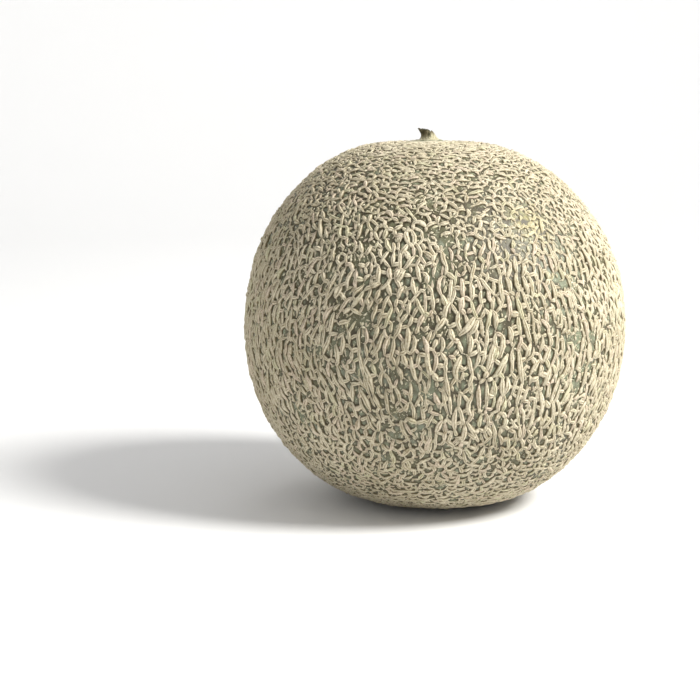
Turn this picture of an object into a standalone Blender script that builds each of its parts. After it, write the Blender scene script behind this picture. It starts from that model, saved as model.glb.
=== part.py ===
"""Netted cantaloupe melon with its dried stub of stalk.

Blender 4.5, metres, +Z up along the stalk. The origin is under the middle of the fruit, in the
plane of the small flat spot at the blossom end that it rests on. The fruit is one closed solid:
a ball with flattened ends, whose whole rind carries a raised net of cork, here about twice life
size so that it takes some 780 cells. The stub stands in a shallow seat at the top.
"""

import math
import random

import bmesh
import bpy
from mathutils import Vector

# The fruit, measured over the net. Its half heights are those of the ball before its ends flatten.
WIDTH = 0.1486
DEPTH = 0.1470
UPPER_HALF = 0.0753
LOWER_HALF = 0.0758
PROFILE_POWER = 2.08  # 2 is an ellipse, more is squarer in the shoulders
UPPER_FLAT = (0.0038, 0.0218)  # how much the stalk end is pressed in, and how far out
LOWER_FLAT = (0.0068, 0.0310)
STALK_LEAN = -0.0026  # how far the stalk end has grown to one side
# Low swellings round the fruit: lobes, share of the radius, turn and twist in radians
SWELLINGS = ((2, 0.0030, 0.5, 1.1), (3, 0.0040, 2.2, -1.6), (5, 0.0022, 4.1, 0.9))

# The blossom end that the fruit rests on
SCAR_RADIUS = 0.0145
SCAR_SIDES = 12

# The net
NET_SEED = 5
CELL_SIZE = 0.0090  # across, on the young fruit
STRETCH = 1.5  # how much taller the fruit has grown since the net's cells formed
JITTER = 0.34  # of a cell's size
CORD_WIDTH = 0.0038
CORD_HEIGHT = 0.0018
MOST_CORD = 0.55  # share of the way to a cell's middle that its cords may reach
SHORTEST_CORD = 0.0024  # shorter links run together into one knot
KNOT_SLIDE = 0.5  # 0 makes every cord long, 1 makes the cells' corners even

# The stalk's seat and the stub in it
COLLAR_RADIUS = 0.0102
COLLAR_RISE = 0.0004
STALK_SIDES = 12
FOOT_RADIUS = 0.0060
SEAT_DEPTH = 0.0024
GAP = 0.0003
STALK_RISE = 0.0037  # of the middle of the torn end over the collar
NECK_RADIUS = 0.0028
STALK_BEND = -0.0018  # how far the torn end leans
TORN_SLANT = 0.0008  # the torn end is higher on the side it leans to
STALK_ROWS = 12
STALK_RIDGES = 5
RIDGE_DEPTH = 0.09  # of the stub's radius

TOP = UPPER_HALF - UPPER_FLAT[0]  # height of the fruit's top over its waist


def material(name, colour, roughness):
    """A plain Principled material with no metal in it."""
    made = bpy.data.materials.new(name)
    made.use_nodes = True
    made.diffuse_color = (*colour, 1)
    shader = made.node_tree.nodes["Principled BSDF"]
    shader.inputs["Base Color"].default_value = (*colour, 1)
    shader.inputs["Roughness"].default_value = roughness
    shader.inputs["Metallic"].default_value = 0
    return made


def direction(polar, azimuth):
    """Unit vector, with the polar angle counted from the stalk."""
    across = math.sin(polar)
    return Vector((across * math.cos(azimuth), across * math.sin(azimuth), math.cos(polar)))


def ball_point(way):
    """Where a unit vector from the middle of the waist meets the fruit before its ends flatten."""
    across = math.hypot(way.x, way.y)
    azimuth = math.atan2(way.y, way.x)
    half = UPPER_HALF if way.z > 0 else LOWER_HALF
    reach = (
        (2 * across / WIDTH) ** PROFILE_POWER + (abs(way.z) / half) ** PROFILE_POWER
    ) ** (-1 / PROFILE_POWER)
    for lobes, share, turn, twist in SWELLINGS:
        reach *= 1 + share * across**2 * math.cos(lobes * azimuth + turn + twist * way.z)
    return way * reach


def rind_point(way):
    """The same point on the grown fruit: ends flattened, narrower in depth, stalk to one side."""
    spot = ball_point(way)
    side = 1 if spot.z > 0 else -1
    depth, spread = UPPER_FLAT if side > 0 else LOWER_FLAT
    radius = math.hypot(spot.x, spot.y)
    spot.z -= side * depth * math.exp(-((radius / spread) ** 2))
    spot.y *= DEPTH / WIDTH
    spot.x += STALK_LEAN * max(spot.z / TOP, 0) ** 2
    return spot


def end_angle(radius, side):
    """Polar angle where the ball is this far from its axis; side is 1 at the stalk, else -1."""
    half = UPPER_HALF if side > 0 else LOWER_HALF
    height = half * (1 - (2 * radius / WIDTH) ** PROFILE_POWER) ** (1 / PROFILE_POWER)
    return math.atan2(radius, side * height)


def young(way):
    """The place on the young fruit, in half widths. It was squatter, and its cells were even."""
    return Vector((way.x, way.y, way.z / STRETCH))


def grown(spot):
    """Direction in the grown fruit of a point of the young one."""
    return Vector((spot.x, spot.y, spot.z * STRETCH)).normalized()


def row_step(polar):
    """Turn from one row of cells to the next, about 0.87 of a cell down the young fruit."""
    slope = math.hypot(math.cos(polar), math.sin(polar) / STRETCH)
    return math.sqrt(0.75) * 2 * CELL_SIZE / WIDTH / slope


def ring_of_cells(polar, sides):
    return [direction(polar, (k + 0.5) * math.tau / sides) for k in range(sides)]


def net_centres():
    """Centres of the cells, as directions: those that the two ends take up, then the net's.

    A ring just inside each end's edge and its match outside make the cells meet on that edge.
    """
    draw = random.Random(NET_SEED)
    top = end_angle(COLLAR_RADIUS, 1)
    bottom = end_angle(SCAR_RADIUS, -1)
    half_top = row_step(top) / 2
    half_bottom = row_step(bottom) / 2
    ends = [direction(0, 0), direction(math.pi, 0)]
    ends += ring_of_cells(top - half_top, STALK_SIDES)
    ends += ring_of_cells(bottom + half_bottom, SCAR_SIDES)
    net = ring_of_cells(top + half_top, STALK_SIDES)
    net += ring_of_cells(bottom - half_bottom, SCAR_SIDES)
    polar = top + 3 * half_top
    while polar < bottom - 2.6 * half_bottom:
        step = row_step(polar)
        around = round(math.tau * math.hypot(*ball_point(direction(polar, 0)).xy) / CELL_SIZE)
        start = draw.random()
        for k in range(around):
            drift = draw.uniform(-JITTER, JITTER)
            drop = draw.uniform(-JITTER, JITTER) * step
            net.append(direction(polar + drop, (k + start + drift) * math.tau / around))
        polar += step
    return ends, net


def knot_place(face):
    """Where the cords of three cells meet: between the triangle's median and its circle's centre."""
    a, b, c = (corner.co for corner in face.verts)
    ab, ac = b - a, c - a
    axis = ab.cross(ac)
    arm = axis.cross(ab) * ac.length_squared + ac.cross(axis) * ab.length_squared
    centre = a + arm / (2 * axis.length_squared)
    return face.calc_center_median().lerp(centre, KNOT_SLIDE)


def net_cells(ends, net):
    """The net as a mesh: one face for each cell, its edges the lines of the cords.

    The hull of the centres joins each to its neighbours. A face of the hull stands for a knot
    where three cells meet, and the knots round a centre outline its cell.
    """
    hull = bmesh.new()
    for way in ends + net:
        hull.verts.new(young(way))
    bmesh.ops.convex_hull(hull, input=hull.verts, use_existing_faces=False)
    hull.verts.index_update()
    hull.faces.index_update()

    mesh = bmesh.new()
    knots = [mesh.verts.new(rind_point(grown(knot_place(face)))) for face in hull.faces]
    for cell in hull.verts:
        if cell.index < len(ends):
            continue
        out = cell.co.normalized()
        east = out.orthogonal().normalized()
        north = out.cross(east)

        def bearing(face):
            arm = face.calc_center_median() - cell.co
            return math.atan2(arm.dot(north), arm.dot(east))

        mesh.faces.new([knots[face.index] for face in sorted(cell.link_faces, key=bearing)])
    hull.free()
    loose = [knot for knot in mesh.verts if not knot.link_faces]
    bmesh.ops.delete(mesh, geom=loose, context="VERTS")
    bmesh.ops.remove_doubles(mesh, verts=mesh.verts, dist=SHORTEST_CORD)
    return mesh


def open_edges(mesh, upper):
    """Edges of the one hole in the mesh that lies above, or else below, the waist."""
    rim = [edge for edge in mesh.edges if edge.is_boundary]
    return [edge for edge in rim if (edge.verts[0].co.z > 0) == upper]


def close_scar(mesh):
    """The flat spot: one face, level with the lowest point of the rind."""
    rim = open_edges(mesh, upper=False)
    low = LOWER_FLAT[0] - LOWER_HALF
    for knot in {knot for edge in rim for knot in edge.verts}:
        arm = knot.co.xy.normalized() * SCAR_RADIUS
        knot.co = (arm.x, arm.y, low)
    for knot in mesh.verts:
        knot.co.z = max(knot.co.z, low)
    return bmesh.ops.contextual_create(mesh, geom=rim)["faces"]


def next_ring(mesh, edges, radius, height):
    """Extrudes a ring of edges to a round ring about the stalk's axis at this height."""
    made = bmesh.ops.extrude_edge_only(mesh, edges=edges)["geom"]
    for knot in (item for item in made if isinstance(item, bmesh.types.BMVert)):
        arm = Vector((knot.co.x - STALK_LEAN, knot.co.y)).normalized() * radius
        knot.co = (STALK_LEAN + arm.x, arm.y, height)
    return [item for item in made if isinstance(item, bmesh.types.BMEdge)]


def close_seat(mesh):
    """The smooth collar round the stalk, and the shallow seat that the stub stands in."""
    brim = TOP + COLLAR_RISE
    ring = open_edges(mesh, upper=True)
    known = set(mesh.faces)
    ring = next_ring(mesh, ring, FOOT_RADIUS + 3 * GAP, brim)
    ring = next_ring(mesh, ring, FOOT_RADIUS + GAP, brim - GAP)
    ring = next_ring(mesh, ring, FOOT_RADIUS + GAP, brim - SEAT_DEPTH)
    bmesh.ops.contextual_create(mesh, geom=ring)
    return [face for face in mesh.faces if face not in known]


def sink(mesh, cell):
    """Sinks a cell between its cords, which slope in from its edge. Returns the slopes."""
    middle = cell.calc_center_median()
    down = cell.normal * -CORD_HEIGHT
    corners = list(cell.verts)
    floor = []
    for corner in corners:
        arm = middle - corner.co
        share = min(CORD_WIDTH / 2 / arm.length, MOST_CORD)
        floor.append(mesh.verts.new(corner.co + arm * share + down))
    mesh.faces.remove(cell)
    mesh.faces.new(floor)
    pairs = zip(corners, corners[1:] + corners[:1], floor[1:] + floor[:1], floor)
    return [mesh.faces.new(corners_of_slope) for corners_of_slope in pairs]


def make_melon():
    """The fruit: the two ends closed, then each cell sunk between its cords."""
    mesh = net_cells(*net_centres())
    cells = list(mesh.faces)
    plain = [*close_scar(mesh), *close_seat(mesh)]
    bmesh.ops.recalc_face_normals(mesh, faces=mesh.faces)
    slopes = [slope for cell in cells for slope in sink(mesh, cell)]
    for face in slopes + plain:
        face.material_index = 1
    bmesh.ops.triangulate(mesh, faces=mesh.faces)
    data = bpy.data.meshes.new("melon")
    mesh.to_mesh(data)
    mesh.free()
    data.materials.append(material("melon_skin", (0.30, 0.33, 0.20), 0.55))
    data.materials.append(material("melon_net", (0.66, 0.58, 0.40), 0.85))
    data.shade_smooth()
    data.set_sharp_from_angle(angle=math.radians(85))
    fruit = bpy.data.objects.new("melon", data)
    bpy.context.collection.objects.link(fruit)
    return fruit


def stalk_radius(share):
    """The stub's radius, from its flared foot at 0 to its torn end at 1."""
    flare = (1 - min(share / 0.75, 1)) ** 2
    return NECK_RADIUS + (FOOT_RADIUS - NECK_RADIUS) * flare


def stalk_ring(mesh, share, height, ridged):
    """A ring of the stub: bent to one side, slanted and ridged more and more towards its end."""
    ring = []
    for side in range(STALK_SIDES):
        turn = side * math.tau / STALK_SIDES
        radius = stalk_radius(share)
        if ridged:
            radius *= 1 + RIDGE_DEPTH * share * math.cos(STALK_RIDGES * turn)
        x = STALK_LEAN + STALK_BEND * share**2 + radius * math.cos(turn)
        z = height - TORN_SLANT * share**2 * math.cos(turn)
        ring.append(mesh.verts.new((x, radius * math.sin(turn), z)))
    return ring


def make_stalk():
    """The stub: a plain foot in the seat, rings up a short bend, and a hollow torn end."""
    brim = TOP + COLLAR_RISE
    mesh = bmesh.new()
    rings = [stalk_ring(mesh, 0, brim - SEAT_DEPTH + GAP, ridged=False)]
    for row in range(STALK_ROWS + 1):
        share = row / STALK_ROWS
        rings.append(stalk_ring(mesh, share, brim - GAP + (STALK_RISE + GAP) * share, row > 0))
    for low, high in zip(rings, rings[1:]):
        for side in range(STALK_SIDES):
            after = (side + 1) % STALK_SIDES
            mesh.faces.new((low[side], low[after], high[after], high[side]))
    mesh.faces.new(reversed(rings[0]))
    torn = mesh.faces.new(rings[-1])
    mesh.normal_update()
    bmesh.ops.inset_individual(
        mesh, faces=[torn], thickness=NECK_RADIUS / 3, depth=-NECK_RADIUS / 4
    )
    bmesh.ops.triangulate(mesh, faces=mesh.faces)
    data = bpy.data.meshes.new("stalk")
    mesh.to_mesh(data)
    mesh.free()
    data.materials.append(material("stalk_cork", (0.17, 0.14, 0.10), 0.9))
    data.shade_smooth()
    data.set_sharp_from_angle(angle=math.radians(50))
    stub = bpy.data.objects.new("stalk", data)
    bpy.context.collection.objects.link(stub)
    return stub


def stand_on_origin(things):
    """Moves the meshes so that their common box stands on the origin, under its middle."""
    spots = [spot.co for thing in things for spot in thing.data.vertices]
    for axis in range(3):
        low = min(co[axis] for co in spots)
        high = max(co[axis] for co in spots)
        shift = low if axis == 2 else (low + high) / 2
        for co in spots:
            co[axis] -= shift


for old in list(bpy.data.objects):
    bpy.data.objects.remove(old, do_unlink=True)
stand_on_origin([make_melon(), make_stalk()])
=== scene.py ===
import math
import random

import bmesh
import bpy
import numpy as np
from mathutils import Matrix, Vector, noise


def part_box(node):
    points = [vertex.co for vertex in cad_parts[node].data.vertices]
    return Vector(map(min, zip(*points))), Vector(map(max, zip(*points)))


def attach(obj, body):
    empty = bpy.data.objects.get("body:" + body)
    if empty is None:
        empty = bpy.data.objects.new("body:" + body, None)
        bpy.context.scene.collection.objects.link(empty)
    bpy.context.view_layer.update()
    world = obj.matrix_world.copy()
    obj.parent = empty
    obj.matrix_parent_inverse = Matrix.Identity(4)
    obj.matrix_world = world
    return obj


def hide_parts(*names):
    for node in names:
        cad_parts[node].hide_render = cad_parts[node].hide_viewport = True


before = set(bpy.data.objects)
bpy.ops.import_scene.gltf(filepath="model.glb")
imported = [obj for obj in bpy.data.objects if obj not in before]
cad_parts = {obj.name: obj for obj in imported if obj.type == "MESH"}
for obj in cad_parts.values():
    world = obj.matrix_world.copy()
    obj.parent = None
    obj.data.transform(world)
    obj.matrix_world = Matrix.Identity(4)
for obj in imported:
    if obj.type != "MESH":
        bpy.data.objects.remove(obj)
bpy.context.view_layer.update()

# The rind. The fruit is a ball with flattened ends that has grown taller since the cork net first
# cracked its skin, so the net's cells, once even, stand upright round the waist now and lie level
# round the two ends. The skin itself bulges a little in every cell.
HALF_WIDTH = 0.0743  # over the net, as all the fruit's sizes are
DEPTH_SHARE = 0.989
UPPER_HALF = 0.0753  # heights of the ball over and under its waist, before its ends flatten
LOWER_HALF = 0.0758
PROFILE_POWER = 2.08
UPPER_FLAT = (0.0038, 0.0218)  # how much the stalk end is pressed in, and how far out
LOWER_FLAT = (0.0068, 0.0310)
STALK_LEAN = -0.0026
COLLAR_RISE = 0.0004
NET_RISE = 0.0010  # of the cords over the skin
LOWEST = 0.00005  # height of the rind's lowest points over what the fruit rests on
NORMAL_STEP = 0.002
SKIN_TOP = UPPER_HALF - UPPER_FLAT[0]
# Lobes, share, turn and twist of the swellings round the waist
SWELLINGS = ((2, 0.0030, 0.5, 1.1), (3, 0.0040, 2.2, -1.6), (5, 0.0022, 4.1, 0.9))

_, melon_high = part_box("melon")
WAIST = melon_high.z - COLLAR_RISE - SKIN_TOP


def direction(polar, azimuth):
    across = math.sin(polar)
    return (across * math.cos(azimuth), across * math.sin(azimuth), math.cos(polar))


def unit(ways):
    return ways / np.linalg.norm(ways, axis=1)[:, None]


def crest_points(ways):
    """Points of the rind over the net, for an array of directions from the waist's middle."""
    ways = unit(ways)
    across = np.hypot(ways[:, 0], ways[:, 1])
    azimuth = np.arctan2(ways[:, 1], ways[:, 0])
    half = np.where(ways[:, 2] > 0, UPPER_HALF, LOWER_HALF)
    reach = (
        (across / HALF_WIDTH) ** PROFILE_POWER + (abs(ways[:, 2]) / half) ** PROFILE_POWER
    ) ** (-1 / PROFILE_POWER)
    for lobes, share, turn, twist in SWELLINGS:
        reach *= 1 + share * across**2 * np.cos(lobes * azimuth + turn + twist * ways[:, 2])
    spots = ways * reach[:, None]
    radius = np.hypot(spots[:, 0], spots[:, 1])
    upper = spots[:, 2] > 0
    depth = np.where(upper, UPPER_FLAT[0], -LOWER_FLAT[0])
    spread = np.where(upper, UPPER_FLAT[1], LOWER_FLAT[1])
    spots[:, 2] -= depth * np.exp(-((radius / spread) ** 2))
    spots[:, 1] *= DEPTH_SHARE
    spots[:, 0] += STALK_LEAN * np.maximum(spots[:, 2] / SKIN_TOP, 0) ** 2
    spots[:, 2] += WAIST
    return spots - recentre


# The fruit stands with its whole outline, swellings included, centred over the origin.
recentre = np.zeros(3)
all_round = [direction(p * math.pi / 90, a * math.pi / 90) for p in range(91) for a in range(180)]
outline = crest_points(np.array(all_round))
recentre = np.append((outline.max(0)[:2] + outline.min(0)[:2]) / 2, 0)
SEAT_X = STALK_LEAN - recentre[0]
SEAT_Y = -recentre[1]


def rind_frame(ways):
    """The crest points for these directions, with the rind's normals there."""
    ways = unit(ways)
    side = unit(np.cross(ways, np.where(abs(ways[:, 2:]) < 0.9, (0.0, 0.0, 1.0), (1.0, 0.0, 0.0))))
    up = np.cross(side, ways)
    across = crest_points(ways + NORMAL_STEP * side) - crest_points(ways - NORMAL_STEP * side)
    along = crest_points(ways + NORMAL_STEP * up) - crest_points(ways - NORMAL_STEP * up)
    return crest_points(ways), unit(np.cross(along, across))


def on_rind(ways, rise):
    """Points at this height over the skin, which lies the net's height below the crests."""
    spots, normals = rind_frame(np.asarray(ways, float))
    spots = spots + normals * (np.asarray(rise) - NET_RISE).reshape(-1, 1)
    spots[:, 2] = np.maximum(spots[:, 2], LOWEST)
    return spots, normals


def end_angle(radius, side):
    """The polar angle of a circle of this radius round the stalk (1) or the blossom end (-1)."""
    half = UPPER_HALF if side > 0 else LOWER_HALF
    height = half * (1 - (radius / HALF_WIDTH) ** PROFILE_POWER) ** (1 / PROFILE_POWER)
    return math.atan2(radius, side * height)


def fall(value, low, high):
    """1 up to low, 0 from high on, smooth between."""
    share = min(max((value - low) / (high - low), 0), 1)
    return 1 - share * share * (3 - 2 * share)


# The cells' sizes, first round the two ends and then round the waist
CELL_WIDE = (0.0034, 0.0026)
CELL_TALL = (0.0022, 0.0052)
END_ZONE = (0.2, 1.0)  # heights over the waist between which the cells turn from upright to level


def cell_shape(polar):
    """How wide and how tall the cells are at this polar angle."""
    level = 1 - fall(abs(math.cos(polar)), *END_ZONE)
    return [waist * (end / waist) ** level for end, waist in (CELL_WIDE, CELL_TALL)]


def row_step(polar):
    return math.sqrt(0.75) * cell_shape(polar)[1] / HALF_WIDTH


# The young fruit was a ball with even cells. This gives the polar angles now, and beside them the
# heights on a chart of the young ball that keeps all angles true, as a sea chart does.
polars = np.radians(np.arange(1.0, 179.1, 0.1))
slopes = np.array([wide / tall for wide, tall in map(cell_shape, polars)]) / np.sin(polars)
chart = np.append(0, np.cumsum((slopes[1:] + slopes[:-1]) / 2 * np.diff(polars)))
chart -= np.interp(math.pi / 2, polars, chart)


def moved(ways, change):
    """The directions with their polar angle changed by a function."""
    ways = unit(ways)
    polar = change(np.arccos(ways[:, 2]))
    azimuth = np.arctan2(ways[:, 1], ways[:, 0])
    across = np.sin(polar)
    return np.stack((across * np.cos(azimuth), across * np.sin(azimuth), np.cos(polar)), axis=1)


def young(ways):
    return moved(ways, lambda polar: 2 * np.arctan(np.exp(np.interp(polar, polars, chart))))


def grown(ways):
    return moved(ways, lambda polar: np.interp(np.log(np.tan(polar / 2)), chart, polars))


# Where the cells lie: in rows between the bare collar and the bare scar, but unevenly
COLLAR_RADIUS = 0.0100
SCAR_RADIUS = 0.0145
FREE_ROWS = (1.5, 1.3)  # rows from the two bare ends to the first and the last uneven row
JITTER = 0.46  # most that a cell's middle is off, as a share of the room that it has
LOST_CELLS = 0.06  # share that is missing, so the cells round it are larger
TWIN_CELLS = 0.12  # share with a twin beside it, so both are small
TWIN_DROP = 0.5
draw = random.Random(17)


def net_centres():
    """Cell centres as directions, and how many at the start belong to the two bare ends."""
    top, bottom = end_angle(COLLAR_RADIUS, 1), end_angle(SCAR_RADIUS, -1)
    ends = [direction(0, 0), direction(math.pi, 0)]
    net = []
    for polar, radius, side in ((top, COLLAR_RADIUS, 1), (bottom, SCAR_RADIUS, -1)):
        around = round(math.tau * radius / cell_shape(polar)[0])
        half = row_step(polar) / 2
        for k in range(around):
            azimuth = k * math.tau / around
            ends.append(direction(polar - side * half, azimuth))
            net.append(direction(polar + side * half, azimuth))
    polar = top + FREE_ROWS[0] * row_step(top)
    while polar < bottom - FREE_ROWS[1] * row_step(bottom):
        step = row_step(polar)
        around = round(math.tau * math.sin(polar) * HALF_WIDTH / cell_shape(polar)[0])
        start = draw.random()
        for k in range(around):
            if draw.random() < LOST_CELLS:
                continue
            drift = draw.uniform(-JITTER, JITTER)
            drop = draw.uniform(-JITTER, JITTER)
            net.append(direction(polar + drop * step, (k + start + drift) * math.tau / around))
            if draw.random() < TWIN_CELLS:
                drop += draw.uniform(-TWIN_DROP, TWIN_DROP)
                beside = (k + start + drift + 0.5) * math.tau / around
                net.append(direction(polar + drop * step, beside))
        polar += step
    return ends + net, len(ends)


# Where the cracks between the cells meet, and how they lean
KNOT_SLIDE = 0.55  # from the middle of three cells to the point equally far from them
SWAY = ((1, 6.0, 0.7, 0.020), (2, -8.0, 2.9, 0.014), (3, 10.0, 4.4, 0.010), (2, 0.0, 3.14, 0.07))
SHORTEST_LINK = 0.0007


def swayed(ways):
    """Turns the directions about the stalk by waves, so the cords lean. The last wave makes the
    cells wider in front and behind and narrower at the sides."""
    ways = unit(ways)
    azimuth = np.arctan2(ways[:, 1], ways[:, 0])
    turn = sum(
        size * np.sin(lobes * azimuth + slant * ways[:, 2] + start)
        for lobes, slant, start, size in SWAY
    )
    across = np.hypot(ways[:, 0], ways[:, 1])
    azimuth += turn * across
    return np.stack((across * np.cos(azimuth), across * np.sin(azimuth), ways[:, 2]), axis=1)


def knots_between(hull):
    """For each three cells that meet, their middle on the young ball, and the direction of the
    knot between them on the fruit now."""
    corners = np.array([[v.co for v in face.verts] for face in hull.faces])
    ab = corners[:, 1] - corners[:, 0]
    ac = corners[:, 2] - corners[:, 0]
    axis = np.cross(ab, ac)
    arm = np.cross(axis, ab) * (ac**2).sum(1)[:, None]
    arm += np.cross(ac, axis) * (ab**2).sum(1)[:, None]
    even = corners[:, 0] + arm / (2 * (axis**2).sum(1)[:, None])
    middles = corners.mean(1)
    return middles, swayed(grown(middles + (even - middles) * KNOT_SLIDE))


def net_mesh():
    """The net on the fruit: a face for each cell, an edge for each crack, a vertex for each knot."""
    centres, ends = net_centres()
    hull = bmesh.new()
    for spot in young(np.array(centres)):
        hull.verts.new(spot)
    bmesh.ops.convex_hull(hull, input=hull.verts, use_existing_faces=False)
    hull.verts.index_update()
    hull.faces.index_update()
    middles, places = knots_between(hull)
    spots, _ = on_rind(places, 0.0)
    net = bmesh.new()
    way = net.verts.layers.float_vector.new("way")
    knots = []
    for spot, place in zip(spots, places):
        knot = net.verts.new(spot)
        knot[way] = Vector(place).normalized()
        knots.append(knot)
    for cell in hull.verts:
        if cell.index < ends or len(cell.link_faces) < 3:
            continue
        out = cell.co.normalized()
        east = out.orthogonal().normalized()
        north = out.cross(east)
        around = []
        for face in cell.link_faces:
            arm = Vector(middles[face.index]) - cell.co
            around.append((math.atan2(arm.dot(north), arm.dot(east)), face.index))
        net.faces.new([knots[index] for _, index in sorted(around)])
    hull.free()
    bmesh.ops.delete(net, geom=[k for k in net.verts if not k.link_faces], context="VERTS")
    bmesh.ops.remove_doubles(net, verts=net.verts, dist=SHORTEST_LINK)
    return net


net = net_mesh()
way = net.verts.layers.float_vector["way"]

# Which cracks have corked over, and which of them run on in one line
MISSING = (0.02, 0.20)  # share of the cracks that stay open, along the grain and across it
THIN_SCATTER = 70.0  # waves to the metre of the places where the net is thin
THIN_EDGE = (0.26, 0.50)
THIN_MISSING = 0.26
THROUGH = 0.9  # how often two links in line become one cord
IN_LINE = -0.74  # cosine of the angle between them from which on they count as in line
STRAIGHTEN = 0.6


def healed_links():
    """The cracks that have corked over: nearly all along the grain of the net, fewer across it."""
    healed = []
    for link in net.edges:
        spot = link.verts[0].co
        run = link.verts[1].co - spot
        level = abs(run.cross(Vector((spot.x, spot.y, 0)).normalized()).z) / run.length
        ends = 1 - fall(abs(link.verts[0][way].z), *END_ZONE)
        across = level + (1 - 2 * level) * ends
        thin = (1 - fall(noise.noise(spot * THIN_SCATTER), *THIN_EDGE)) * (1 - ends)
        open_share = MISSING[0] + (MISSING[1] - MISSING[0]) * across + THIN_MISSING * thin
        if link.is_boundary or draw.random() > open_share:
            healed.append(link)
    return healed


healed = healed_links()
corked = set(healed)


def joined_links():
    """Pairs up, at each knot, the two links that run on most nearly straight."""
    partner = {}
    for knot in net.verts:
        here = [link for link in knot.link_edges if link in corked]
        best, pair = IN_LINE, None
        for i, first in enumerate(here):
            for second in here[i + 1 :]:
                a = (first.other_vert(knot).co - knot.co).normalized()
                b = (second.other_vert(knot).co - knot.co).normalized()
                if a.dot(b) < best:
                    best, pair = a.dot(b), (first, second)
        if pair and draw.random() < THROUGH:
            partner[pair[0], knot] = pair[1]
            partner[pair[1], knot] = pair[0]
    return partner


partner = joined_links()


def straighten():
    """Draws every knot with two joined links towards the straight line between their far ends."""
    drawn = {}
    for (link, knot), other in partner.items():
        ends = link.other_vert(knot)[way] + other.other_vert(knot)[way]
        drawn[knot] = knot[way].lerp(ends / 2, STRAIGHTEN / 2).normalized()
    spots, _ = on_rind(np.array(list(drawn.values())), 0.0)
    for (knot, place), spot in zip(drawn.items(), spots):
        knot[way] = place
        knot.co = spot


straighten()
straighten()

# The skin in each cell: its middle bulges, a ring round that dips, and painted shade darkens its rim
# beside the cork, and the whole of a small cell.
CELL_BULGE = 0.00022  # in a cell of the usual size, and larger in a larger one
USUAL_SIDE = 0.0035
MOST_BULGE = 1.6
RING_OUT = 0.55  # share of the way from the middle to the rim
RING_DIP = 0.2  # share of the bulge
# painted shade at the ring round a cell's middle, as a share of that at its rim
RING_SHADE = 0.7
ROOMY = 1.15  # size from which a cell's middle gets no painted shade
NARROW = 0.9  # how much smaller a cell is that gets painted shade all over


def near_cork(knot):
    """How much cork meets at this knot, 0 to 1."""
    return sum(link in corked for link in knot.link_edges) / len(knot.link_edges)


def skin_mesh():
    """The skin as one closed sheet, domed a little in every cell, with plain caps at the ends."""
    mesh = bmesh.new()
    tone = mesh.verts.layers.float.new("cell_tone")
    # painted shade on the skin: strongest where cork meets, in the crevices beside the cords, and
    # over small cells
    foot = mesh.verts.layers.float.new("foot")
    rim = {}
    for knot in net.verts:
        rim[knot] = mesh.verts.new(knot.co)
        rim[knot][foot] = near_cork(knot)
    ways, rises, gap_shades, cells = [], [], [], []
    for cell in net.faces:
        corners = [Vector(knot[way]) for knot in cell.verts]
        middle = sum(corners, Vector()) / len(corners)
        size = math.sqrt(cell.calc_area()) / USUAL_SIDE
        bulge = CELL_BULGE * min(size, MOST_BULGE)
        cells.append((cell, len(ways), draw.random()))
        for knot, corner in zip(cell.verts, corners):
            ways.append(middle.lerp(corner, RING_OUT))
            rises.append(-RING_DIP * bulge)
            gap_shades.append(RING_SHADE * near_cork(knot))
        ways.append(middle)
        rises.append(bulge)
        gap_shades.append(1 - fall(ROOMY - size, 0, NARROW))
    spots, _ = on_rind(np.array(ways), np.array(rises))
    for cell, start, shade in cells:
        count = len(cell.verts)
        inner = [mesh.verts.new(spot) for spot in spots[start : start + count + 1]]
        for knot, near in zip(inner, gap_shades[start:]):
            knot[tone] = shade
            knot[foot] = near
        outer = [rim[knot] for knot in cell.verts]
        for k in range(count):
            after = (k + 1) % count
            mesh.faces.new((outer[k], outer[after], inner[after], inner[k]))
            mesh.faces.new((inner[k], inner[after], inner[count]))
    holes = [edge for edge in mesh.edges if edge.is_boundary]
    bmesh.ops.holes_fill(mesh, edges=holes, sides=0)
    bmesh.ops.recalc_face_normals(mesh, faces=mesh.faces)
    bmesh.ops.triangulate(mesh, faces=mesh.faces)
    return mesh


def new_object(name, data):
    made = bpy.data.objects.new(name, data)
    bpy.context.scene.collection.objects.link(made)
    return made


def tie(piece, node):
    """Ties a finished piece to the frame."""
    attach(piece, "root")
    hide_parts(node)


def new_piece(name, mesh, finish, node):
    """Makes a smooth piece from a bmesh, dresses it and ties it to the frame."""
    data = bpy.data.meshes.new(name)
    mesh.to_mesh(data)
    mesh.free()
    data.shade_smooth()
    data.materials.append(finish)
    piece = new_object(name, data)
    tie(piece, node)
    return piece


class Nodes:
    """A node tree, and short ways to add nodes to it."""

    def __init__(self, group, prefix):
        self.group = group
        self.prefix = prefix

    def add(self, kind, *links, **values):
        made = self.group.nodes.new(kind if "Node" in kind else self.prefix + kind)
        for key, value in values.items():
            setattr(made, key, value)
        for socket, source in links:
            if isinstance(source, bpy.types.NodeSocket):
                self.group.links.new(source, made.inputs[socket])
            else:
                made.inputs[socket].default_value = source
        return made

    def get(self, kind, *links, **values):
        """The first output of a new node."""
        return self.add(kind, *links, **values).outputs[0]

    def math(self, how, *values, clamp=False):
        return self.get("ShaderNodeMath", *enumerate(values), operation=how, use_clamp=clamp)


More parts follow.
